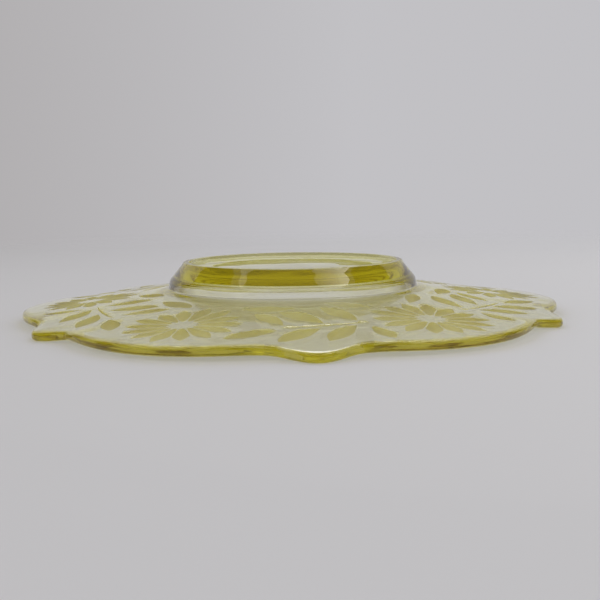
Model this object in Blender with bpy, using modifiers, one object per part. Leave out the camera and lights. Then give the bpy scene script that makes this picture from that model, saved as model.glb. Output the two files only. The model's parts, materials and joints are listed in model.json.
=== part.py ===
"""A shallow pressed-glass dish on a foot ring, its rim cut as six long lobes parted by six small nubs.

The dish is one piece of glass, so it is one object. It stands on its foot ring: the origin is the
centre of the ring's resting flat, +Z points up out of the dish, and one nub lies on +X.
Lengths are in metres. The section is turned about Z, then the flange is drawn in to the outline of
the rim and its nubs are turned up.
"""

import math

import bmesh
import bpy

MM = 0.001

# Driving dimensions
LOBE_RADIUS = 127.0 * MM
LOBE_HEIGHT = 24.3 * MM
RIM_THICKNESS = 3.6 * MM
FOOT_RADIUS = 0.412 * LOBE_RADIUS
FOOT_FLAT_WIDTH = 2.0 * MM
FOOT_CORNER = 0.4 * MM
RECESS_DEPTH = 3.0 * MM
BASE_THICKNESS = 4.6 * MM

# Rim outline, seen from above
LOBES = 6
HALF_PITCH = math.pi / LOBES
NUB_RADIUS = 0.995 * LOBE_RADIUS
NOTCH_RADIUS = 0.939 * LOBE_RADIUS
NOTCH_ANGLE = math.radians(8.4)
NOTCH_FILLET = 0.9 * MM
LOBE_POWER = 1.7

# Each nub is turned up from the slope of the flange
NUB_RISE = 1.75 * MM
NUB_RISE_ANGLE = math.radians(14)
NUB_RISE_POWER = 4

# Foot: a cone up to a shoulder, a steep wall above it, and a cove where the wall meets the flange
SHOULDER_RADIUS = 0.458 * LOBE_RADIUS
SHOULDER_HEIGHT = 7.5 * MM
WALL_RADIUS = 0.467 * LOBE_RADIUS
WALL_HEIGHT = 11.4 * MM
COVE = 1.2 * MM
FLANGE_ROOT_RADIUS = WALL_RADIUS + COVE
FLANGE_ROOT_HEIGHT = WALL_HEIGHT + COVE

# Recess inside the ring: a low wall, then a floor that slopes in to its flat middle
RECESS_WALL_LEAN = 0.3 * MM
RECESS_FILLET = 0.4 * MM
RECESS_SLOPE_WIDTH = 12.0 * MM
RECESS_SLOPE_DROP = 1.6 * MM
RECESS_SLOPE_POWER = 1.5

# Well and flange
WELL_FLOOR_RADIUS = 0.43 * LOBE_RADIUS
WELL_CURVE = 5.0 * MM
FLANGE_START_RADIUS = 0.50 * LOBE_RADIUS
FLANGE_START_THICKNESS = 4.2 * MM
FLANGE_BOW = 0.45
RIM_ROUNDING = 1.3 * MM

# Mesh fineness
TURN_STEPS = 120
WELL_WALL_POINTS = 6
FLANGE_POINTS = 6
COVE_POINTS = 3
SLOPE_POINTS = 4
ROUNDING_POINTS = 2

GLASS_COLOUR = (0.72, 0.68, 0.16, 1.0)
GLASS_ROUGHNESS = 0.04
GLASS_IOR = 1.52


def clear_scene():
    for old in list(bpy.data.objects):
        bpy.data.objects.remove(old, do_unlink=True)


def quarter(centre, start):
    """A quarter round of the section, clockwise from the start angle in degrees."""
    found = []
    for i in range(ROUNDING_POINTS + 1):
        angle = math.radians(start - 90 * i / ROUNDING_POINTS)
        radius = centre[0] + RIM_ROUNDING * math.cos(angle)
        height = centre[1] + RIM_ROUNDING * math.sin(angle)
        found.append((radius, height))
    return found


def flange_underside(radius):
    """Height of the flange's underside. It rises a little faster beside the foot than at the rim."""
    low = FLANGE_ROOT_HEIGHT
    high = LOBE_HEIGHT - RIM_THICKNESS
    share = (radius - FLANGE_ROOT_RADIUS) / (LOBE_RADIUS - FLANGE_ROOT_RADIUS)
    return low + (high - low) * (share + FLANGE_BOW * share * (1 - share))


def flange_top(radius):
    """Height of the flange's upper face. The glass thins from the well to the rim."""
    share = (radius - FLANGE_START_RADIUS) / (LOBE_RADIUS - FLANGE_START_RADIUS)
    thickness = FLANGE_START_THICKNESS + (RIM_THICKNESS - FLANGE_START_THICKNESS) * share
    return flange_underside(radius) + thickness


def curve(start, handle, other_handle, end, count):
    """Points of a cubic curve of the section, without its end."""
    found = []
    for i in range(count):
        share = i / count
        rest = 1 - share
        weights = (rest**3, 3 * rest**2 * share, 3 * rest * share**2, share**3)
        corners = (start, handle, other_handle, end)
        radius = sum(weight * corner[0] for weight, corner in zip(weights, corners))
        height = sum(weight * corner[1] for weight, corner in zip(weights, corners))
        found.append((radius, height))
    return found


def inside_section():
    """The inside of the dish, from the middle of the well out to the rim's upper rounding."""
    floor = RECESS_DEPTH + BASE_THICKNESS
    start = (WELL_FLOOR_RADIUS, floor)
    handle = (WELL_FLOOR_RADIUS + WELL_CURVE, floor)
    before_lip = FLANGE_START_RADIUS - WELL_CURVE
    other_handle = (before_lip, flange_top(before_lip))
    lip = (FLANGE_START_RADIUS, flange_top(FLANGE_START_RADIUS))
    points = [(0.0, floor)]
    points += curve(start, handle, other_handle, lip, WELL_WALL_POINTS)
    edge = LOBE_RADIUS - RIM_ROUNDING
    for i in range(FLANGE_POINTS):
        radius = FLANGE_START_RADIUS + (edge - FLANGE_START_RADIUS) * i / FLANGE_POINTS
        points.append((radius, flange_top(radius)))
    return points


def rim_section():
    """The rounded rim: two quarter rounds with a short upright wall between them."""
    inner = LOBE_RADIUS - RIM_ROUNDING
    upper = (inner, LOBE_HEIGHT - RIM_ROUNDING)
    lower = (inner, LOBE_HEIGHT - RIM_THICKNESS + RIM_ROUNDING)
    return quarter(upper, 90) + quarter(lower, 0)


def underside_section():
    """The underside, from the rim's lower rounding in to the cove above the foot."""
    outer = LOBE_RADIUS - RIM_ROUNDING
    points = []
    for i in range(1, FLANGE_POINTS):
        radius = outer + (FLANGE_ROOT_RADIUS - outer) * i / FLANGE_POINTS
        points.append((radius, flange_underside(radius)))
    return points


def foot_section():
    """The foot: its cove, its steep wall, the cone below its shoulder and its resting flat."""
    root = (FLANGE_ROOT_RADIUS, FLANGE_ROOT_HEIGHT)
    handle = (WALL_RADIUS, flange_underside(WALL_RADIUS))
    other_handle = (WALL_RADIUS, WALL_HEIGHT + 0.4 * COVE)
    wall = (WALL_RADIUS, WALL_HEIGHT)
    flat_outer = FOOT_RADIUS - FOOT_CORNER
    points = curve(root, handle, other_handle, wall, COVE_POINTS)
    points.append(wall)
    points.append((SHOULDER_RADIUS, SHOULDER_HEIGHT))
    points.append((FOOT_RADIUS, FOOT_CORNER))
    points.append((flat_outer, 0.0))
    points.append((flat_outer - FOOT_FLAT_WIDTH, 0.0))
    return points


def recess_section():
    """The recess inside the ring, up its low wall and down its floor's slope to the middle."""
    wall = FOOT_RADIUS - FOOT_CORNER - FOOT_FLAT_WIDTH - RECESS_WALL_LEAN
    edge_depth = RECESS_DEPTH - RECESS_SLOPE_DROP
    slope_start = wall - RECESS_FILLET
    points = [(wall, edge_depth - RECESS_FILLET)]
    for i in range(SLOPE_POINTS + 1):
        share = i / SLOPE_POINTS
        drop = RECESS_SLOPE_DROP * (1 - (1 - share) ** RECESS_SLOPE_POWER)
        points.append((slope_start - RECESS_SLOPE_WIDTH * share, edge_depth + drop))
    points.append((0.0, RECESS_DEPTH))
    return points


def turned_mesh(name, section):
    """The section turned about Z, as a mesh."""
    line = bpy.data.meshes.new(name + "_section")
    edges = [(i, i + 1) for i in range(len(section) - 1)]
    line.from_pydata([(radius, 0.0, height) for radius, height in section], edges, [])
    blank = bpy.data.objects.new(name + "_blank", line)
    bpy.context.scene.collection.objects.link(blank)
    turn = blank.modifiers.new("turn", "SCREW")
    turn.angle = math.tau
    turn.steps = TURN_STEPS
    turn.render_steps = TURN_STEPS
    turn.use_merge_vertices = True
    turn.merge_threshold = 0.00001
    bpy.context.view_layer.update()
    graph = bpy.context.evaluated_depsgraph_get()
    turned = bpy.data.meshes.new_from_object(blank.evaluated_get(graph))
    turned.name = name
    bpy.data.objects.remove(blank)
    return turned


def angle_from_nub(angle):
    """How far an angle round the rim is from the middle of the nearest nub."""
    return abs((angle + HALF_PITCH) % (2 * HALF_PITCH) - HALF_PITCH)


def outline_radius(angle):
    """Distance from the axis to the rim: a nub and a lobe, whichever is further out, filleted."""
    off_nub = angle_from_nub(angle)
    crest = (1 + math.cos(math.pi * min(off_nub / NOTCH_ANGLE, 1))) / 2
    nub = NOTCH_RADIUS + (NUB_RADIUS - NOTCH_RADIUS) * crest
    share = (HALF_PITCH - off_nub) / (HALF_PITCH - NOTCH_ANGLE)
    lobe = LOBE_RADIUS - (LOBE_RADIUS - NOTCH_RADIUS) * share**LOBE_POWER
    return (nub + lobe + math.hypot(nub - lobe, NOTCH_FILLET)) / 2


def nub_rise(angle):
    """How far the rim is turned up at an angle round it."""
    share = min(angle_from_nub(angle) / NUB_RISE_ANGLE, 1)
    return NUB_RISE * math.cos(share * math.pi / 2) ** 2


def shape_flange(mesh):
    """Slides each point of the flange along the flange's slope to the outline, and turns up the nubs."""
    fixed = FLANGE_ROOT_RADIUS
    shape = bmesh.new()
    shape.from_mesh(mesh)
    for point in shape.verts:
        radius = math.hypot(point.co.x, point.co.y)
        if radius <= fixed:
            continue
        angle = math.atan2(point.co.y, point.co.x)
        share = (radius - fixed) / (LOBE_RADIUS - fixed)
        drawn = fixed + share * (outline_radius(angle) - fixed)
        point.co.x *= drawn / radius
        point.co.y *= drawn / radius
        point.co.z += flange_underside(drawn) - flange_underside(radius)
        point.co.z += nub_rise(angle) * share**NUB_RISE_POWER
    shape.to_mesh(mesh)
    shape.free()


def yellow_glass():
    made = bpy.data.materials.new("yellow_glass")
    made.use_nodes = True
    shader = made.node_tree.nodes["Principled BSDF"]
    shader.inputs["Base Color"].default_value = GLASS_COLOUR
    shader.inputs["Roughness"].default_value = GLASS_ROUGHNESS
    shader.inputs["Metallic"].default_value = 0.0
    shader.inputs["IOR"].default_value = GLASS_IOR
    shader.inputs["Transmission Weight"].default_value = 1.0
    return made


def make_dish():
    section = inside_section() + rim_section() + underside_section()
    section += foot_section() + recess_section()
    mesh = turned_mesh("dish_body", section)
    shape_flange(mesh)
    mesh.shade_smooth()
    mesh.set_sharp_from_angle(angle=math.radians(35))
    mesh.materials.clear()
    mesh.materials.append(yellow_glass())
    collection = bpy.data.collections.new("scalloped_glass_dish")
    bpy.context.scene.collection.children.link(collection)
    collection.objects.link(bpy.data.objects.new("dish_body", mesh))


clear_scene()
make_dish()
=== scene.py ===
"""A scalloped dish of clear yellow pressed glass, its flange cut with matte daisies and leaves.

The dish is one closed mesh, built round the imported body: the inside, rim and foot are rings of points
on the turned section, and the flange's underside is a triangulated sheet into which the cuts are sunk.
Lengths are in metres. The main camera looks at the dish as it lies upside down, so the whole stage
turns over with the camera: whichever side the camera is on, the floor lies beyond the dish.
"""

import json
import math
import random

import bmesh
import bpy
from mathutils import Matrix, Vector
from mathutils.geometry import delaunay_2d_cdt

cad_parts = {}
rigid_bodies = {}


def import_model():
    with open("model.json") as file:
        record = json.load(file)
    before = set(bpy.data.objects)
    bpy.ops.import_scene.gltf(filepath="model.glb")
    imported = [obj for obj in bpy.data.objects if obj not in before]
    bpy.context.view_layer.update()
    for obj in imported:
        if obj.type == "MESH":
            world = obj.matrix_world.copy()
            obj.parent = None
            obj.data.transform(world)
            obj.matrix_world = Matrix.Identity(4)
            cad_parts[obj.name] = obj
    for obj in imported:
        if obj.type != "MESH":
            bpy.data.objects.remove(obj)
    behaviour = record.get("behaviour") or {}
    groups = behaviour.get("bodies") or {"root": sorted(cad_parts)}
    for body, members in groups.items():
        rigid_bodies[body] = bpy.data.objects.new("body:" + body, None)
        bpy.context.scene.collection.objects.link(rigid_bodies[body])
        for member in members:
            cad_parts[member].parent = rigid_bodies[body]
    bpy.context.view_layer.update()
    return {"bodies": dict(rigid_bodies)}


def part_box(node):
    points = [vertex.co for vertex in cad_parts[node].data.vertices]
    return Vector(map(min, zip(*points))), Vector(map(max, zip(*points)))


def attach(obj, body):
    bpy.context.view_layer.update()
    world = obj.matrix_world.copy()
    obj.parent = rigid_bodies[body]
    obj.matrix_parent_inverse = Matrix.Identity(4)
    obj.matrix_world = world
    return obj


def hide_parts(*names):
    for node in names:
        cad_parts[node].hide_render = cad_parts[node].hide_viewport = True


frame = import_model()
BODY = next(iter(frame["bodies"]))

MM = 0.001

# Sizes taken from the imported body
DISH_LOW, DISH_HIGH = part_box("dish_body")
LOBE_RADIUS = (DISH_HIGH[1] - DISH_LOW[1]) / 2
DISH_HEIGHT = DISH_HIGH[2] - DISH_LOW[2]

# Rim outline, seen from above
LOBES = 6
HALF_PITCH = math.pi / LOBES
NUB_RADIUS = 0.995 * LOBE_RADIUS
NOTCH_RADIUS = 0.939 * LOBE_RADIUS
NOTCH_ANGLE = math.radians(8.4)
NOTCH_FILLET = 0.9 * MM
LOBE_POWER = 1.7
RIM_THICKNESS = 3.6 * MM
RIM_ROUNDING = 1.3 * MM
NUB_RISE = 1.75 * MM
NUB_RISE_ANGLE = math.radians(14)
NUB_RISE_POWER = 4
NUB_OVER_LOBE = 1.5 * MM
LOBE_HEIGHT = DISH_HEIGHT - NUB_OVER_LOBE

# Foot, recess and well
FOOT_RADIUS = 0.412 * LOBE_RADIUS
FOOT_FLAT_WIDTH = 2.0 * MM
FOOT_CORNER = 0.4 * MM
RECESS_DEPTH = 3.0 * MM
RECESS_WALL_LEAN = 0.3 * MM
RECESS_FILLET = 0.4 * MM
RECESS_SLOPE_WIDTH = 12.0 * MM
RECESS_SLOPE_DROP = 1.6 * MM
RECESS_SLOPE_POWER = 1.5
BASE_THICKNESS = 4.6 * MM
SHOULDER_RADIUS = 0.458 * LOBE_RADIUS
SHOULDER_HEIGHT = 7.5 * MM
WALL_RADIUS = 0.467 * LOBE_RADIUS
WALL_HEIGHT = 11.4 * MM
COVE = 1.2 * MM
COVE_HANDLE = 0.4 * COVE
WELL_FLOOR_RADIUS = 0.43 * LOBE_RADIUS
WELL_CURVE = 5.0 * MM
FLANGE_START_RADIUS = 0.50 * LOBE_RADIUS
FLANGE_START_THICKNESS = 4.2 * MM
FLANGE_BOW = 0.45
FLANGE_ROOT_RADIUS = WALL_RADIUS + COVE
FLANGE_ROOT_HEIGHT = WALL_HEIGHT + COVE

# The foot's softened shoulder, its ring's inner edge and its recess's wall, with angles in degrees
SHOULDER_SOFT_SHARE = 0.6
SHOULDER_SOFT_RISE = 0.6 * MM
SHOULDER_SOFT_FALL = 0.04
INNER_CORNER = 0.5 * FOOT_CORNER
INNER_CORNER_END = -152
RECESS_MIDDLE_SHARE = 0.45
RECESS_MIDDLE_LEAN = 0.4 * RECESS_WALL_LEAN
RECESS_FILLET_START = 20

# Mesh fineness
ROUND_STEPS = 480
SHEET_STEPS = 240
SHEET_RINGS = 24
ROUNDING_POINTS = 5
WELL_WALL_POINTS = 14
FLANGE_POINTS = 18
DISC_POINTS = 5
DISC_RADIUS = 2.0 * MM
SHOULDER_POINTS = 4
CONE_SHARES = (0.25, 0.5, 0.75)
SLOPE_SHARES = (0.2, 0.4, 0.6, 0.8)
SHEET_GRID_EDGE = 1.1 * RIM_ROUNDING
SHEET_EDGE = 0.85 * RIM_ROUNDING
SHEET_TOLERANCE = 1e-6
WELD_DISTANCE = 0.004 * MM
SHARP_ANGLE = math.radians(38)

# Wheel-cut daisies and leafy sprays on the flange's underside. A pair is the range of a random draw.
DAISY_CENTRE_RADIUS = 0.760 * LOBE_RADIUS
DAISY_SPIN = (0, 0.5)
DAISY_SIZE = (0.96, 1.0)
DAISY_PETALS = 14
PETAL_START = 5.2 * MM
PETAL_END = 24.5 * MM
PETAL_GAP = 0.32 * MM
PETAL_WIDEST = 0.62
PETAL_TIP_POWER = 0.8
PETAL_SHOULDER = 0.8 * MM
PETAL_SWAY = 0.01
PETAL_LENGTH = (0.93, 1.03)
PETAL_FULLNESS = (0.97, 1.0)
PETAL_DEPTH = 0.42 * MM
LEAF_SKEW = 1.15
LEAF_FULLNESS = 0.85
LEAF_DEPTH = 0.45 * MM
STEM_DEPTH = 0.15 * MM
SINK_POWER = 0.8
CUT_OUTLINE_POINTS = 11
CUT_CLEARANCE = 0.6 * MM
CUT_SEED = 7

# The five points across a cut: how far out and how deep each lies, as shares of half its width and depth
CUT_PROFILE = ((1, 0), (0.5, 0.58), (0, 1), (-0.5, 0.58), (-1, 0))


# Section and outline


def flange_underside(radius):
    """Height of the flange's underside. It rises a little faster beside the foot than at the rim."""
    high = LOBE_HEIGHT - RIM_THICKNESS
    share = (radius - FLANGE_ROOT_RADIUS) / (LOBE_RADIUS - FLANGE_ROOT_RADIUS)
    return FLANGE_ROOT_HEIGHT + (high - FLANGE_ROOT_HEIGHT) * (share + FLANGE_BOW * share * (1 - share))


def flange_top(radius):
    """Height of the flange's upper face. The glass thins from the well to the rim."""
    share = (radius - FLANGE_START_RADIUS) / (LOBE_RADIUS - FLANGE_START_RADIUS)
    thickness = FLANGE_START_THICKNESS + (RIM_THICKNESS - FLANGE_START_THICKNESS) * share
    return flange_underside(radius) + thickness


def angle_from_nub(angle):
    """How far an angle round the rim is from the middle of the nearest nub."""
    return abs((angle + HALF_PITCH) % (2 * HALF_PITCH) - HALF_PITCH)


def outline_radius(angle):
    """Distance from the axis to the rim: a nub and a lobe, whichever is further out, filleted."""
    off_nub = angle_from_nub(angle)
    crest = (1 + math.cos(math.pi * min(off_nub / NOTCH_ANGLE, 1))) / 2
    nub = NOTCH_RADIUS + (NUB_RADIUS - NOTCH_RADIUS) * crest
    share = (HALF_PITCH - off_nub) / (HALF_PITCH - NOTCH_ANGLE)
    lobe = LOBE_RADIUS - (LOBE_RADIUS - NOTCH_RADIUS) * share**LOBE_POWER
    return (nub + lobe + math.hypot(nub - lobe, NOTCH_FILLET)) / 2


def nub_rise(angle):
    """How far the rim is turned up at an angle round it."""
    share = min(angle_from_nub(angle) / NUB_RISE_ANGLE, 1)
    return NUB_RISE * math.cos(share * math.pi / 2) ** 2


def flange_point(angle, radius, height):
    """A point of the turned flange, slid along its slope to the outline and turned up at the nubs."""
    fixed = FLANGE_ROOT_RADIUS
    if radius <= fixed:
        return (radius * math.cos(angle), radius * math.sin(angle), height)
    share = (radius - fixed) / (LOBE_RADIUS - fixed)
    drawn = fixed + share * (outline_radius(angle) - fixed)
    height += flange_underside(drawn) - flange_underside(radius)
    height += nub_rise(angle) * share**NUB_RISE_POWER
    return (drawn * math.cos(angle), drawn * math.sin(angle), height)


def sheet_height(x, y):
    """Height of the uncut underside over a point of the flange."""
    fixed = FLANGE_ROOT_RADIUS
    radius = math.hypot(x, y)
    angle = math.atan2(y, x)
    share = (radius - fixed) / (outline_radius(angle) - fixed)
    return flange_underside(radius) + nub_rise(angle) * max(share, 0) ** NUB_RISE_POWER


def arc(centre, radius, start, end, points):
    """Points of a round stretch of the section, between two angles in degrees."""
    found = []
    for i in range(points + 1):
        angle = math.radians(start + (end - start) * i / points)
        found.append((centre[0] + radius * math.cos(angle), centre[1] + radius * math.sin(angle)))
    return found


def steps(start, end, points):
    """Evenly spaced values from start up to, but without, end."""
    return [start + (end - start) * i / points for i in range(points)]


def bezier(start, handle, other_handle, end, points):
    """Points of a cubic curve, without its end."""
    found = []
    for share in steps(0, 1, points):
        rest = 1 - share
        weights = (rest**3, 3 * rest**2 * share, 3 * rest * share**2, share**3)
        corners = (start, handle, other_handle, end)
        found.append(tuple(sum(w * corner[i] for w, corner in zip(weights, corners)) for i in range(2)))
    return found


def inside_section():
    """The inside of the dish, from beside the middle of the well out round the rim to the underside."""
    floor = RECESS_DEPTH + BASE_THICKNESS
    lip = flange_top(FLANGE_START_RADIUS)
    before = (FLANGE_START_RADIUS - WELL_CURVE, flange_top(FLANGE_START_RADIUS - WELL_CURVE))
    points = [(radius, floor) for radius in steps(DISC_RADIUS, WELL_FLOOR_RADIUS, DISC_POINTS)]
    points += bezier(
        (WELL_FLOOR_RADIUS, floor),
        (WELL_FLOOR_RADIUS + WELL_CURVE, floor),
        before,
        (FLANGE_START_RADIUS, lip),
        WELL_WALL_POINTS,
    )
    edge = LOBE_RADIUS - RIM_ROUNDING
    points += [(radius, flange_top(radius)) for radius in steps(FLANGE_START_RADIUS, edge, FLANGE_POINTS)]
    upper = (edge, flange_top(edge) - RIM_ROUNDING)
    lower = (edge, flange_underside(edge) + RIM_ROUNDING)
    points += arc(upper, RIM_ROUNDING, 90, 0, ROUNDING_POINTS)
    points += arc(lower, RIM_ROUNDING, 0, -90, ROUNDING_POINTS)
    return points


def foot_section():
    """The foot, from the cove at the flange down its wall and cone and across its resting flat."""
    flat_outer = FOOT_RADIUS - FOOT_CORNER
    flat_inner = flat_outer - FOOT_FLAT_WIDTH
    lean = math.degrees(math.atan2(SHOULDER_HEIGHT - FOOT_CORNER, SHOULDER_RADIUS - FOOT_RADIUS))
    root = (FLANGE_ROOT_RADIUS, FLANGE_ROOT_HEIGHT)
    before = (WALL_RADIUS, flange_underside(WALL_RADIUS))
    shoulder = (SHOULDER_RADIUS, SHOULDER_HEIGHT)
    soft_radius = WALL_RADIUS - SHOULDER_SOFT_SHARE * (WALL_RADIUS - SHOULDER_RADIUS)
    soft_low = (soft_radius, SHOULDER_HEIGHT + SHOULDER_SOFT_RISE)
    soft_radius = SHOULDER_RADIUS - SHOULDER_SOFT_FALL * (SHOULDER_RADIUS - FOOT_RADIUS)
    soft_high = (soft_radius, (1 - SHOULDER_SOFT_FALL) * SHOULDER_HEIGHT)
    above_wall = (WALL_RADIUS, WALL_HEIGHT + COVE_HANDLE)
    points = bezier(root, before, above_wall, (WALL_RADIUS, WALL_HEIGHT), SHOULDER_POINTS)
    points.append((WALL_RADIUS, WALL_HEIGHT))
    points += bezier(soft_low, shoulder, shoulder, soft_high, SHOULDER_POINTS)
    points.append(soft_high)
    for share in CONE_SHARES:
        radius = SHOULDER_RADIUS + (FOOT_RADIUS - SHOULDER_RADIUS) * share
        points.append((radius, SHOULDER_HEIGHT + (FOOT_CORNER - SHOULDER_HEIGHT) * share))
    points += arc((flat_outer, FOOT_CORNER), FOOT_CORNER, lean - 90, -90, ROUNDING_POINTS)
    inner = (flat_inner, INNER_CORNER)
    return points + arc(inner, INNER_CORNER, -90, INNER_CORNER_END, ROUNDING_POINTS)


def recess_section():
    """The recess inside the foot ring, up its low wall and down its floor's slope to the middle."""
    wall = FOOT_RADIUS - FOOT_CORNER - FOOT_FLAT_WIDTH - RECESS_WALL_LEAN
    edge_depth = RECESS_DEPTH - RECESS_SLOPE_DROP
    slope_top = wall - RECESS_FILLET
    points = [(wall + RECESS_MIDDLE_LEAN, RECESS_MIDDLE_SHARE * edge_depth)]
    centre = (slope_top, edge_depth - RECESS_FILLET)
    points += arc(centre, RECESS_FILLET, RECESS_FILLET_START, 90, ROUNDING_POINTS)
    for share in SLOPE_SHARES:
        drop = RECESS_SLOPE_DROP * (1 - (1 - share) ** RECESS_SLOPE_POWER)
        points.append((slope_top - RECESS_SLOPE_WIDTH * share, edge_depth + drop))
    slope_end = slope_top - RECESS_SLOPE_WIDTH
    points += [(radius, RECESS_DEPTH) for radius in steps(slope_end, DISC_RADIUS, DISC_POINTS)]
    points.append((DISC_RADIUS, RECESS_DEPTH))
    return points


# Cuts


def leaf_swell(share):
    """How wide a leaf is along its length, as a share of its widest. It is widest past its middle."""
    return math.sin(math.pi * share**LEAF_SKEW) ** LEAF_FULLNESS


def petal_width(share):
    """Half a petal's width along its length: a wedge that almost meets its neighbours, then a tip."""
    reach = PETAL_START + (PETAL_END - PETAL_START) * share
    wedge = reach * math.tan(math.pi / DAISY_PETALS) - PETAL_GAP / 2
    widest = PETAL_START + (PETAL_END - PETAL_START) * PETAL_WIDEST
    tip = widest * math.tan(math.pi / DAISY_PETALS) * ((1 - share) / (1 - PETAL_WIDEST)) ** PETAL_TIP_POWER
    return (wedge + tip - math.hypot(wedge - tip, PETAL_SHOULDER)) / 2


def cut_shape(start, heading, length, width, scale, depth, bend):
    """One wheel cut, as rows of points (x, y, depth) across it from its start to its tip.

    The cut's middle line turns by bend on its way. Half its width is scale times what the width function
    gives for the share of its length.
    """
    rows = []
    x, y = start
    stride = length / CUT_OUTLINE_POINTS
    for i in range(CUT_OUTLINE_POINTS + 1):
        share = i / CUT_OUTLINE_POINTS
        turn = heading + bend * (share - 0.5)
        half = scale * width(share) if 0 < i < CUT_OUTLINE_POINTS else 0
        sink = depth * leaf_swell(share) ** SINK_POWER if half else 0
        side = (-math.sin(turn), math.cos(turn))
        row = []
        for across, down in CUT_PROFILE:
            row.append((x + side[0] * half * across, y + side[1] * half * across, sink * down))
        rows.append(row)
        x += math.cos(turn) * stride
        y += math.sin(turn) * stride
    return rows


def daisy(angle, radius, spin, size):
    """A ring of petals round an uncut middle."""
    centre = (radius * math.cos(angle), radius * math.sin(angle))
    cuts = []
    for i in range(DAISY_PETALS):
        heading = spin + math.tau * (i + random.uniform(-PETAL_SWAY, PETAL_SWAY)) / DAISY_PETALS
        start = PETAL_START * size
        length = (PETAL_END * random.uniform(*PETAL_LENGTH) - PETAL_START) * size
        root = (centre[0] + start * math.cos(heading), centre[1] + start * math.sin(heading))
        fullness = size * random.uniform(*PETAL_FULLNESS)
        cuts.append(cut_shape(root, heading, length, petal_width, fullness, PETAL_DEPTH, 0))
    return cuts


# One spray, in its own axes: x runs round the dish from the middle of a nub, y straight outwards from
# the dish's axis. A row gives a cut's start (x, y), heading, length, bend and half width, in millimetres
# and degrees. The first row is the stem. Each cut is then shifted and turned a little at random.
SPRAY_SHIFT = 0.4
SPRAY_TURN = 2
STEM_HALF_WIDTH_BELOW = 1
SPRAY = (
    (-23.0, 90.0, 10, 36, -16, 0.55),
    (-17.0, 95.0, 58, 22, 16, 4.2),
    (-3.5, 97.5, 44, 23, 14, 4.3),
    (12.5, 99.0, 24, 22, 12, 3.9),
    (-22.5, 97.0, 112, 17, -12, 3.4),
    (-18.5, 88.0, -52, 22, 18, 4.2),
    (-5.0, 91.5, -43, 23, 18, 4.3),
    (10.0, 92.5, -58, 20, 16, 3.6),
    (4.0, 71.0, -8, 22, -12, 3.7),
    (-28.0, 68.0, -12, 20, -10, 3.4),
)


def spray(angle, flip):
    """A stem with leaves between two daisies, mirrored from one spray to the next."""
    cuts = []
    for x, y, heading, length, bend, half_width in SPRAY:
        x += random.uniform(-SPRAY_SHIFT, SPRAY_SHIFT)
        heading += random.uniform(-SPRAY_TURN, SPRAY_TURN)
        across, out = flip * x * MM, y * MM
        start = (
            out * math.cos(angle) - across * math.sin(angle),
            out * math.sin(angle) + across * math.cos(angle),
        )
        turn = angle + flip * math.radians(90 - heading)
        depth = STEM_DEPTH if half_width < STEM_HALF_WIDTH_BELOW else LEAF_DEPTH
        bent = -flip * math.radians(bend)
        cuts.append(cut_shape(start, turn, length * MM, leaf_swell, half_width * MM, depth, bent))
    return cuts


def all_cuts():
    """A daisy on every lobe and a spray at every nub."""
    random.seed(CUT_SEED)
    cuts = []
    for i in range(LOBES):
        middle = HALF_PITCH * (2 * i + 1)
        spin, size = random.uniform(*DAISY_SPIN), random.uniform(*DAISY_SIZE)
        cuts += daisy(middle, DAISY_CENTRE_RADIUS, spin, size)
        cuts += spray(HALF_PITCH * 2 * i, 1 if i % 2 else -1)
    return cuts


# The mesh


def ring_points(section, angles):
    """One ring of points for every point of the section."""
    return [flange_point(angle, radius, height) for radius, height in section for angle in angles]


def ring_faces(rings, first, count, centre_first=None, centre_last=None):
    """Quads between neighbouring rings, and fans that close the first or last ring on a centre point."""
    faces = []
    for ring in range(rings - 1):
        for i in range(count):
            j = (i + 1) % count
            low = first + ring * count
            faces.append((low + i, low + count + i, low + count + j, low + j))
    for i in range(count):
        j = (i + 1) % count
        if centre_first is not None:
            faces.append((centre_first, first + i, first + j))
        if centre_last is not None:
            last = first + (rings - 1) * count
            faces.append((centre_last, last + j, last + i))
    return faces


def near_cut(x, y, cuts):
    """True if a point lies in a cut or close to its edge."""
    for cut in cuts:
        for row in cut:
            half = math.hypot(row[0][0] - row[2][0], row[0][1] - row[2][1])
            if math.hypot(x - row[2][0], y - row[2][1]) < half + CUT_CLEARANCE:
                return True
    return False


def sheet_grid(cuts):
    """A grid of points over the underside that keeps clear of the cuts."""
    found = []
    for ring in range(1, SHEET_RINGS):
        share = ring / SHEET_RINGS
        for i in range(SHEET_STEPS):
            angle = math.tau * (i + 0.5 * (ring % 2)) / SHEET_STEPS
            reach = outline_radius(angle) - FLANGE_ROOT_RADIUS - SHEET_GRID_EDGE
            radius = FLANGE_ROOT_RADIUS + share * reach
            x, y = radius * math.cos(angle), radius * math.sin(angle)
            if not near_cut(x, y, cuts):
                found.append((x, y))
    return found


def cut_lines(cut, first):
    """A cut's points as (x, y, depth) from an index on, its lines as pairs of indices, and its outline."""
    rows = cut[1:-1]
    across = len(CUT_PROFILE)
    points = [point for row in rows for point in row]
    start, tip = first + len(points), first + len(points) + 1
    for row in (cut[0], cut[-1]):
        x, y, _ = row[across // 2]
        points.append((x, y, 0.0))
    lines = [[first + across * i + line for i in range(len(rows))] for line in range(across)]
    edges = []
    for line in lines:
        chain = [start, *line, tip]
        edges += list(zip(chain, chain[1:]))
    return points, edges, [start, *lines[-1], tip, *lines[0][::-1]]


def on_sheet(middle):
    """True if a triangle with this middle lies between the foot's cove and the rim's rounding."""
    radius = middle.length
    angle = math.atan2(middle.y, middle.x)
    if radius < FLANGE_ROOT_RADIUS * math.cos(math.pi / ROUND_STEPS):
        return False
    return radius <= outline_radius(angle) - SHEET_EDGE


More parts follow.
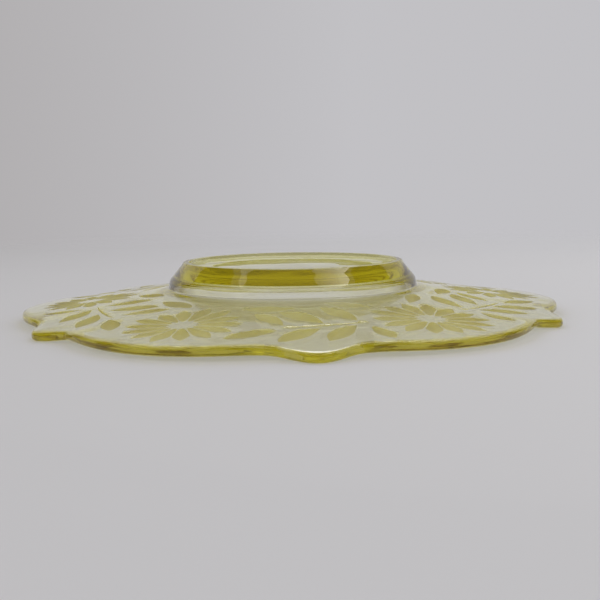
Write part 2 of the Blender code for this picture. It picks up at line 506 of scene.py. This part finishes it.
def cut_sheet(cuts, outer, inner):
    """The flange's underside between two rings, as points and triangles with a mark on the cut ones.

    The triangles follow each cut's outline, so its matte edge is crisp, and its inner lines, which are
    sunk into the glass. Lengths go to the triangulation in millimetres.
    """
    points = [(x, y, 0.0) for x, y, _ in outer + inner]
    count = len(outer)
    edges = [(i, (i + 1) % count) for i in range(count)]
    edges += [(count + i, count + (i + 1) % count) for i in range(count)]
    points += [(x, y, 0.0) for x, y in sheet_grid(cuts)]
    outlines = []
    for cut in cuts:
        cut_points, cut_edges, outline = cut_lines(cut, len(points))
        points += cut_points
        edges += cut_edges
        outlines.append(outline)
    flat = [Vector((x / MM, y / MM)) for x, y, _ in points]
    done = delaunay_2d_cdt(flat, edges, outlines, 0, SHEET_TOLERANCE)
    places, _, faces, origins, _, face_origins = done
    sheet = []
    for place, origin in zip(places, origins):
        x, y = place.x * MM, place.y * MM
        sink = max((points[o][2] for o in origin), default=0.0)
        sheet.append((x, y, sheet_height(x, y) + sink))
    kept, marks = [], []
    for face, origin in zip(faces, face_origins):
        middle = sum((places[i] for i in face), Vector((0, 0))) / len(face) * MM
        if on_sheet(middle):
            kept.append(face)
            marks.append(1.0 if origin else 0.0)
    return sheet, kept, marks


def dish_mesh():
    """The whole dish as one mesh whose faces are marked matte or not. The sheet is not welded on yet."""
    angles = [math.tau * i / ROUND_STEPS for i in range(ROUND_STEPS)]
    upper, lower = inside_section(), foot_section() + recess_section()
    points = ring_points(upper, angles)
    points.append((0.0, 0.0, upper[0][1]))
    faces = ring_faces(len(upper), 0, ROUND_STEPS, centre_first=len(points) - 1)
    first = len(points)
    points += ring_points(lower, angles)
    points.append((0.0, 0.0, lower[-1][1]))
    faces += ring_faces(len(lower), first, ROUND_STEPS, centre_last=len(points) - 1)
    marks = [0.0] * len(faces)
    outer = points[(len(upper) - 1) * ROUND_STEPS : len(upper) * ROUND_STEPS]
    inner = points[first : first + ROUND_STEPS]
    sheet, sheet_faces, sheet_marks = cut_sheet(all_cuts(), outer, inner)
    first = len(points)
    points += sheet
    faces += [tuple(first + i for i in face) for face in sheet_faces]
    marks += sheet_marks
    mesh = bpy.data.meshes.new("glass_dish_visual")
    mesh.from_pydata(points, [], faces)
    mark = mesh.attributes.new("matte_cut", "FLOAT", "FACE")
    mark.data.foreach_set("value", marks)
    return mesh


def close_mesh(mesh):
    """Welds the sheet to its rings and turns every face outwards."""
    shape = bmesh.new()
    shape.from_mesh(mesh)
    bmesh.ops.remove_doubles(shape, verts=shape.verts, dist=WELD_DISTANCE)
    loose = [point for point in shape.verts if not point.link_faces]
    bmesh.ops.delete(shape, geom=loose, context="VERTS")
    bmesh.ops.recalc_face_normals(shape, faces=shape.faces)
    shape.to_mesh(mesh)
    shape.free()
    mesh.shade_smooth()
    mesh.set_sharp_from_angle(angle=SHARP_ANGLE)


# Materials


def nodes_of(material):
    """A material's emptied node tree, as its nodes and links."""
    material.use_nodes = True
    tree = material.node_tree
    tree.nodes.clear()
    return tree.nodes, tree.links


# Glass. A noise is given as its scale and its detail.
CLEAR_TINT = (1.0, 1.0, 1.0, 1.0)
# Painted shade: the matte cuts' colour is darkened and yellowed to stand in for the dimmer light they pass
MATTE_SHADE_TINT = (0.88, 0.84, 0.50, 1.0)
ABSORB_COLOUR = (0.91, 0.88, 0.13, 1.0)
ABSORB_DENSITY = 60.0
GLASS_IOR = 1.52
POLISHED_ROUGHNESS = (0.0, 0.03)
MATTE_ROUGHNESS = (0.42, 0.66)
GROUND_ROUGHNESS = 0.44
SCRATCH_ROUGHNESS = 0.16
GROUND_HEIGHT = 0.25 * MM
WAVE_NOISE = (26.0, 1.5)
WAVE_STRENGTH = 0.10
WAVE_DEPTH = 4.0 * MM
SMEAR_NOISE = (38.0, 4.0)
SMEAR_RANGE = (0.35, 0.75)
GRAIN_NOISE = (900.0, 3.0)
# How the painted shade on the matte cuts comes and goes in patches over the grain
MATTE_PATCH_RANGE = (0.2, 0.6)
MATTE_PATCH_COVER = (0.6, 1.0)
PIT_NOISE = (1600.0, 2.0)
PIT_STRENGTH = 0.25
PIT_DEPTH = 0.05 * MM
HAIRLINE_NOISE = (1.0, 1.0)
HAIRLINE_STRETCH = (60.0, 1400.0, 200.0)
HAIRLINE_TURN = (0.0, 0.0, 0.6)
HAIRLINE_RANGE = (0.74, 0.80)
WORN_PATCH_NOISE = (22.0, 2.0)
WORN_PATCH_RANGE = (0.5, 0.62)


def noise(nodes, links, place, scale, detail):
    """A noise texture's value over a place."""
    texture = nodes.new("ShaderNodeTexNoise")
    texture.inputs["Scale"].default_value = scale
    texture.inputs["Detail"].default_value = detail
    links.new(place, texture.inputs["Vector"])
    return texture.outputs["Fac"]


def mapped(nodes, links, value, source, target):
    """A value carried from one range to another, and held at the other's ends."""
    node = nodes.new("ShaderNodeMapRange")
    node.inputs["From Min"].default_value, node.inputs["From Max"].default_value = source
    node.inputs["To Min"].default_value, node.inputs["To Max"].default_value = target
    links.new(value, node.inputs["Value"])
    return node.outputs["Result"]


def blended(nodes, links, share, low, high):
    """Two values mixed by a share. Either may be a plain number."""
    node = nodes.new("ShaderNodeMix")
    node.data_type = "FLOAT"
    links.new(share, node.inputs["Factor"])
    for socket, value in ((node.inputs[2], low), (node.inputs[3], high)):
        if isinstance(value, float):
            socket.default_value = value
        else:
            links.new(value, socket)
    return node.outputs[0]


def mixed_colours(nodes, links, share, low, high):
    """Two colours mixed by a share."""
    node = nodes.new("ShaderNodeMix")
    node.data_type = "RGBA"
    links.new(share, node.inputs["Factor"])
    for socket, colour in ((node.inputs[6], low), (node.inputs[7], high)):
        if isinstance(colour, tuple):
            socket.default_value = colour
        else:
            links.new(colour, socket)
    return node.outputs[2]


def calculated(nodes, links, operation, *values):
    """The result of a sum, a product or the like of values or plain numbers."""
    node = nodes.new("ShaderNodeMath")
    node.operation = operation
    for socket, value in zip(node.inputs, values):
        if isinstance(value, float):
            socket.default_value = value
        else:
            links.new(value, socket)
    return node.outputs["Value"]


def worn_share(nodes, links, place):
    """How worn the glass is: by grinding, on the foot ring's flat, and by hairlines, in patches."""
    axes = nodes.new("ShaderNodeSeparateXYZ")
    links.new(place, axes.inputs["Vector"])
    ground = mapped(nodes, links, axes.outputs["Z"], (0.0, GROUND_HEIGHT), (1.0, 0.0))
    stretched = nodes.new("ShaderNodeMapping")
    stretched.inputs["Scale"].default_value = HAIRLINE_STRETCH
    stretched.inputs["Rotation"].default_value = HAIRLINE_TURN
    links.new(place, stretched.inputs["Vector"])
    lines = noise(nodes, links, stretched.outputs["Vector"], *HAIRLINE_NOISE)
    hairlines = mapped(nodes, links, lines, HAIRLINE_RANGE, (0.0, 1.0))
    cloud = noise(nodes, links, place, *WORN_PATCH_NOISE)
    patches = mapped(nodes, links, cloud, WORN_PATCH_RANGE, (0.0, 1.0))
    return ground, calculated(nodes, links, "MULTIPLY", hairlines, patches)


def glass_material():
    """Clear yellow glass that colours with depth, with matte petals and leaves that carry painted shade in
    patches, and a little wear.
    """
    material = bpy.data.materials.new("yellow_glass_look")
    nodes, links = nodes_of(material)
    place = nodes.new("ShaderNodeTexCoord").outputs["Object"]
    cut = nodes.new("ShaderNodeAttribute")
    cut.attribute_name = "matte_cut"

    smear = noise(nodes, links, place, *SMEAR_NOISE)
    grain = noise(nodes, links, place, *GRAIN_NOISE)
    polish = mapped(nodes, links, smear, SMEAR_RANGE, POLISHED_ROUGHNESS)
    matte = mapped(nodes, links, grain, (0.0, 1.0), MATTE_ROUGHNESS)
    ground, hairlines = worn_share(nodes, links, place)
    ground_grain = calculated(nodes, links, "MULTIPLY", ground, grain)
    ground_rough = calculated(nodes, links, "MULTIPLY", ground_grain, GROUND_ROUGHNESS)
    hair_rough = calculated(nodes, links, "MULTIPLY", hairlines, SCRATCH_ROUGHNESS)
    polish = calculated(nodes, links, "ADD", polish, ground_rough)
    polish = calculated(nodes, links, "ADD", polish, hair_rough)
    rough = blended(nodes, links, cut.outputs["Fac"], polish, matte)

    # Painted shade on the matte cuts, laid in random patches
    patchy = mapped(nodes, links, grain, MATTE_PATCH_RANGE, MATTE_PATCH_COVER)
    matte_shade = calculated(nodes, links, "MULTIPLY", cut.outputs["Fac"], patchy)
    tint = mixed_colours(nodes, links, matte_shade, CLEAR_TINT, MATTE_SHADE_TINT)

    ripple = nodes.new("ShaderNodeBump")
    ripple.inputs["Strength"].default_value = WAVE_STRENGTH
    ripple.inputs["Distance"].default_value = WAVE_DEPTH
    links.new(noise(nodes, links, place, *WAVE_NOISE), ripple.inputs["Height"])
    pitted = nodes.new("ShaderNodeBump")
    pitted.inputs["Distance"].default_value = PIT_DEPTH
    links.new(blended(nodes, links, cut.outputs["Fac"], 0.0, PIT_STRENGTH), pitted.inputs["Strength"])
    links.new(noise(nodes, links, place, *PIT_NOISE), pitted.inputs["Height"])
    links.new(ripple.outputs["Normal"], pitted.inputs["Normal"])

    shader = nodes.new("ShaderNodeBsdfPrincipled")
    shader.inputs["IOR"].default_value = GLASS_IOR
    shader.inputs["Transmission Weight"].default_value = 1.0
    links.new(tint, shader.inputs["Base Color"])
    links.new(rough, shader.inputs["Roughness"])
    links.new(pitted.outputs["Normal"], shader.inputs["Normal"])
    body = nodes.new("ShaderNodeVolumeAbsorption")
    body.inputs["Color"].default_value = ABSORB_COLOUR
    body.inputs["Density"].default_value = ABSORB_DENSITY
    out = nodes.new("ShaderNodeOutputMaterial")
    links.new(shader.outputs["BSDF"], out.inputs["Surface"])
    links.new(body.outputs["Volume"], out.inputs["Volume"])
    return material


def paper_material():
    """Pale matte paper, darker to the left with painted shade, that thins to nothing towards the floor's
    edge.
    """
    material = bpy.data.materials.new("pale_floor")
    nodes, links = nodes_of(material)
    shader = nodes.new("ShaderNodeBsdfPrincipled")
    shader.inputs["Roughness"].default_value = FLOOR_ROUGHNESS
    shader.inputs["Specular IOR Level"].default_value = FLOOR_SHINE
    place = nodes.new("ShaderNodeTexCoord").outputs["Object"]
    axes = nodes.new("ShaderNodeSeparateXYZ")
    links.new(place, axes.inputs["Vector"])
    # Painted shade: the paper's colour runs from darker on the left to lighter on the right
    across = mapped(nodes, links, axes.outputs["X"], (-FLOOR_SHADE_REACH, FLOOR_SHADE_REACH), (0.0, 1.0))
    links.new(mixed_colours(nodes, links, across, FLOOR_SHADED_LEFT, FLOOR_LIT_RIGHT), shader.inputs["Base Color"])
    reach = nodes.new("ShaderNodeVectorMath")
    reach.operation = "LENGTH"
    links.new(place, reach.inputs[0])
    solid = nodes.new("ShaderNodeMapRange")
    solid.interpolation_type = "SMOOTHSTEP"
    solid.inputs["From Min"].default_value = FLOOR_SOLID_RADIUS
    solid.inputs["From Max"].default_value = FLOOR_RADIUS
    solid.inputs["To Min"].default_value = 1.0
    solid.inputs["To Max"].default_value = 0.0
    links.new(reach.outputs["Value"], solid.inputs["Value"])
    links.new(solid.outputs["Result"], shader.inputs["Alpha"])
    out = nodes.new("ShaderNodeOutputMaterial")
    links.new(shader.outputs["BSDF"], out.inputs["Surface"])
    return material


# The dish


def make_dish():
    """The dish, which rides on the frame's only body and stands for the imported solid."""
    mesh = dish_mesh()
    close_mesh(mesh)
    mesh.materials.append(glass_material())
    dish = bpy.data.objects.new("glass_dish_visual", mesh)
    bpy.context.scene.collection.objects.link(dish)
    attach(dish, BODY)
    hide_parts("dish_body")


# Stage, lights and camera

# The camera, for the dish lying upside down with a nub towards it
LENS = 50.3
SENSOR_WIDTH = 36.0
CLIP = (0.01, 20.0)
CAMERA_DISTANCE = 3.18 * LOBE_RADIUS
CAMERA_HEIGHT = 0.4448 * LOBE_RADIUS
CAMERA_ASIDE = 0.0264 * LOBE_RADIUS
CAMERA_PITCH = 0.124
CAMERA_ROLL = -0.0138
DISH_TURN = math.radians(34.4)

# The room and its backdrop, whose painted shade pales from left to right between two turns of the view
ROOM_COLOUR = (0.575, 0.57, 0.58, 1.0)
BACKDROP_SHADED_LEFT = (0.425, 0.410, 0.415, 1.0)
BACKDROP_LIT_RIGHT = (0.538, 0.532, 0.553, 1.0)
BACKDROP_TURN = (-0.43, 0.06)

# Cards round and over the dish. Each glows with a fixed colour and paints dark reflections into the glass,
# olive ones from the side cards
CARD_ASIDE = 0.8
CARD_BEHIND = 1.25
CARD_AHEAD = 0.5
CARD_HEIGHT = 1.1
BACK_CARD_COLOUR = (0.05, 0.05, 0.05)
SIDE_CARD_COLOUR = (0.20, 0.19, 0.10)
FLAG_COLOUR = (0.28, 0.275, 0.26)
FLAG_HEIGHT = 1.3
FLAG_NEAR = -0.05
FLAG_FAR = -0.9
FLAG_HALF_WIDTH = 0.7

# Lights
WARM = (1.0, 0.99, 0.97)
WHITE = (1.0, 1.0, 1.0)
WINDOW_PLACE = (0.365, -0.115, 0.815)
WINDOW_SIZE = (0.40, 0.26)
WINDOW_POWER = 1.1
WINDOW_FADE = (0.0, 0.6)
WINDOW_DIM_SIDE = 0.25
SMALL_WINDOW_PLACE = (-0.42, -0.10, 0.80)
SMALL_WINDOW_SIZE = (0.10, 0.14)
SMALL_WINDOW_POWER = 0.045
STRIP_PLACE = (0.05, 0.9, 0.75)
STRIP_SIZE = (0.7, 0.14)
STRIP_POWER = 0.9
OVERHEAD_PLACE = (0.3, 0.5, 1.6)
OVERHEAD_TARGET = (0.0, 0.3, 0.0)
OVERHEAD_SIZE = (1.2, 1.2)
OVERHEAD_POWER = 0.5
LIGHT_BOUNCES = 64
BRIGHTEST_BOUNCE = 4.0

# Floor, with painted shade that darkens its colour towards the left and lightens it towards the right
FLOOR_SHADED_LEFT = (0.735, 0.725, 0.73, 1.0)
FLOOR_LIT_RIGHT = (0.86, 0.857, 0.87, 1.0)
FLOOR_SHADE_REACH = 0.35
FLOOR_ROUGHNESS = 0.9
FLOOR_SHINE = 0.1
FLOOR_STEPS = 96
FLOOR_INNER_RADII = (0.1, 0.2)
FLOOR_SOLID_RADIUS = 0.25
FLOOR_RADIUS = 1.0
FLOOR_GAP = 0.15 * MM


def follow_camera(thing, path, index, expression):
    """Drives a value of a thing by the height of the main camera, which is below zero in the main view."""
    driver = thing.driver_add(path, index).driver
    driver.type = "SCRIPTED"
    height = driver.variables.new()
    height.name = "height"
    height.targets[0].id = bpy.context.scene.camera
    height.targets[0].data_path = "location[2]"
    driver.expression = expression


def make_turner():
    """An empty that turns the stage over when the camera is below the dish's foot."""
    turner = bpy.data.objects.new("stage_turner", None)
    bpy.context.scene.collection.objects.link(turner)
    follow_camera(turner, "rotation_euler", 1, "pi if height < 0 else 0")
    follow_camera(turner, "rotation_euler", 2, f"{DISH_TURN:.6f} if height < 0 else 0")
    follow_camera(turner, "location", 2, f"{DISH_HEIGHT:.6f} if height < 0 else 0")
    return turner


def make_floor(turner):
    """A round floor that fades into the pale room round it."""
    radii = (*FLOOR_INNER_RADII, FLOOR_SOLID_RADIUS, FLOOR_RADIUS)
    points = []
    for radius in radii:
        for i in range(FLOOR_STEPS):
            angle = math.tau * i / FLOOR_STEPS
            points.append((radius * math.cos(angle), radius * math.sin(angle), -FLOOR_GAP))
    points.append((0.0, 0.0, -FLOOR_GAP))
    faces = ring_faces(len(radii), 0, FLOOR_STEPS, centre_first=len(points) - 1)
    mesh = bpy.data.meshes.new("stage_floor")
    mesh.from_pydata(points, [], faces)
    mesh.materials.append(paper_material())
    floor = bpy.data.objects.new("stage_floor", mesh)
    bpy.context.scene.collection.objects.link(floor)
    floor.parent = turner


def soften_side(light):
    """Lets a window's light fade in across its width from one side."""
    light.use_nodes = True
    nodes, links = light.node_tree.nodes, light.node_tree.links
    spot = nodes.new("ShaderNodeNewGeometry")
    axes = nodes.new("ShaderNodeSeparateXYZ")
    links.new(spot.outputs["Parametric"], axes.inputs["Vector"])
    fade = mapped(nodes, links, axes.outputs["X"], WINDOW_FADE, (WINDOW_DIM_SIDE, 1.0))
    links.new(fade, nodes["Emission"].inputs["Strength"])


def add_light(name, place, target, size, power, colour, turner):
    """A rectangular light that faces a target."""
    light = bpy.data.lights.new(name, "AREA")
    light.shape = "RECTANGLE"
    light.size, light.size_y = size
    light.energy = power
    light.color = colour
    lamp = bpy.data.objects.new(name, light)
    bpy.context.scene.collection.objects.link(lamp)
    lamp.location = place
    lamp.rotation_euler = (Vector(target) - Vector(place)).to_track_quat("-Z", "Y").to_euler()
    lamp.parent = turner
    return lamp


def make_card(name, corners, colour, turner):
    """A flat card that is there only while the stage is turned over. It glows faintly with a fixed colour,
    lights nothing and casts no shadow: a painted reflection in the glass.
    """
    mesh = bpy.data.meshes.new(name)
    mesh.from_pydata(corners, [], [(0, 1, 2, 3)])
    material = bpy.data.materials.new(name)
    nodes, links = nodes_of(material)
    shader = nodes.new("ShaderNodeEmission")
    shader.inputs["Color"].default_value = (*colour, 1.0)
    out = nodes.new("ShaderNodeOutputMaterial")
    links.new(shader.outputs["Emission"], out.inputs["Surface"])
    mesh.materials.append(material)
    card = bpy.data.objects.new(name, mesh)
    bpy.context.scene.collection.objects.link(card)
    card.parent = turner
    card.visible_diffuse = False
    card.visible_shadow = False
    for axis in range(3):
        follow_camera(card, "scale", axis, "1 if height < 0 else 0")


def make_cards(turner):
    """The dark cards that the rim and the foot's cone mirror: behind, beside and above the camera."""
    aside, behind, ahead, high = CARD_ASIDE, -CARD_BEHIND, CARD_AHEAD, CARD_HEIGHT
    corners = [(-aside, behind, 0), (aside, behind, 0), (aside, behind, high), (-aside, behind, high)]
    make_card("back_card", corners, BACK_CARD_COLOUR, turner)
    for name, side in (("left_card", -aside), ("right_card", aside)):
        corners = [(side, behind, 0), (side, ahead, 0), (side, ahead, high), (side, behind, high)]
        make_card(name, corners, SIDE_CARD_COLOUR, turner)
    near, far, half, high = FLAG_NEAR, FLAG_FAR, FLAG_HALF_WIDTH, FLAG_HEIGHT
    corners = [(-half, far, high), (half, far, high), (half, near, high), (-half, near, high)]
    make_card("overhead_card", corners, FLAG_COLOUR, turner)


def make_window(name, mirrored, turner):
    """One copy of the soft window: the copy that glass mirrors, or one that lights matte things."""
    window = add_light(name, WINDOW_PLACE, (0, 0, 0), WINDOW_SIZE, WINDOW_POWER, WARM, turner)
    soften_side(window.data)
    window.visible_diffuse = not mirrored
    window.visible_glossy = mirrored
    window.visible_transmission = False
    return window


def make_lights(turner):
    """The lights. The window's light falls on the floor under the upturned dish without a shadow."""
    make_window("window_mirrored", True, turner)
    for name, shadow, shown in (("window_through_glass", False, "<"), ("window_shaded", True, ">=")):
        window = make_window(name, False, turner)
        window.data.use_shadow = shadow
        follow_camera(window.data, "energy", -1, f"{WINDOW_POWER} if height {shown} 0 else 0")
    middle = (0, 0, 0)
    place, size, power = SMALL_WINDOW_PLACE, SMALL_WINDOW_SIZE, SMALL_WINDOW_POWER
    add_light("small_window", place, middle, size, power, WHITE, turner)
    strip = add_light("back_strip", STRIP_PLACE, middle, STRIP_SIZE, STRIP_POWER, WHITE, turner)
    strip.visible_diffuse = False
    strip.visible_transmission = False
    place, size, power = OVERHEAD_PLACE, OVERHEAD_SIZE, OVERHEAD_POWER
    overhead = add_light("overhead", place, OVERHEAD_TARGET, size, power, WHITE, turner)
    overhead.visible_glossy = False
    overhead.visible_transmission = False


def make_world():
    """A pale room. Where a camera looks straight at it, it is a backdrop with painted shade that darkens it
    a little on the left.
    """
    world = bpy.data.worlds.new("soft_room")
    bpy.context.scene.world = world
    world.use_nodes = True
    nodes, links = world.node_tree.nodes, world.node_tree.links
    aside = nodes.new("ShaderNodeVectorMath")
    aside.operation = "DOT_PRODUCT"
    links.new(nodes.new("ShaderNodeTexCoord").outputs["Generated"], aside.inputs[0])
    aside.inputs[1].default_value = camera_axes()[0]
    # Painted shade: the backdrop darkens towards the left of the view
    share = mapped(nodes, links, aside.outputs["Value"], BACKDROP_TURN, (0.0, 1.0))
    backdrop = mixed_colours(nodes, links, share, BACKDROP_SHADED_LEFT, BACKDROP_LIT_RIGHT)
    direct = nodes.new("ShaderNodeLightPath").outputs["Is Camera Ray"]
    seen = mixed_colours(nodes, links, direct, ROOM_COLOUR, backdrop)
    links.new(seen, nodes["Background"].inputs["Color"])


def stage_to_dish():
    """The turn from the main view's stage, where the dish lies upside down, to the dish's own axes."""
    overturn = Matrix(((-1, 0, 0), (0, 1, 0), (0, 0, -1)))
    return overturn @ Matrix.Rotation(-DISH_TURN, 3, "Z")


def camera_axes():
    """The main camera's right, up and backward directions."""
    ahead = Vector((0, math.cos(CAMERA_PITCH), -math.sin(CAMERA_PITCH)))
    level_up = Vector((0, math.sin(CAMERA_PITCH), math.cos(CAMERA_PITCH)))
    level_right = Vector((1, 0, 0))
    right = level_right * math.cos(CAMERA_ROLL) + level_up * math.sin(CAMERA_ROLL)
    up = level_up * math.cos(CAMERA_ROLL) - level_right * math.sin(CAMERA_ROLL)
    return [stage_to_dish() @ axis for axis in (right, up, -ahead)]


def make_camera():
    """The main camera. It looks from below the foot, so its picture shows the dish upside down."""
    data = bpy.data.cameras.new("main_camera")
    data.lens = LENS
    data.sensor_width = SENSOR_WIDTH
    data.clip_start, data.clip_end = CLIP
    camera = bpy.data.objects.new("main_camera", data)
    bpy.context.scene.collection.objects.link(camera)
    place = Vector((CAMERA_ASIDE, -CAMERA_DISTANCE, CAMERA_HEIGHT))
    spot = stage_to_dish() @ place + Vector((0, 0, DISH_HEIGHT))
    turned = Matrix(camera_axes()).transposed().to_4x4()
    camera.matrix_world = Matrix.Translation(spot) @ turned
    bpy.context.scene.camera = camera


def let_light_through():
    """Plain colours, and enough bounces for light to pass through the glass many times."""
    scene = bpy.context.scene
    scene.view_settings.view_transform = "Standard"
    scene.cycles.max_bounces = LIGHT_BOUNCES
    scene.cycles.transmission_bounces = LIGHT_BOUNCES
    scene.cycles.glossy_bounces = LIGHT_BOUNCES
    scene.cycles.blur_glossy = 0.0
    scene.cycles.sample_clamp_indirect = BRIGHTEST_BOUNCE


make_camera()
stage_turner = make_turner()
make_floor(stage_turner)
make_cards(stage_turner)
make_lights(stage_turner)
make_world()
make_dish()
let_light_through()
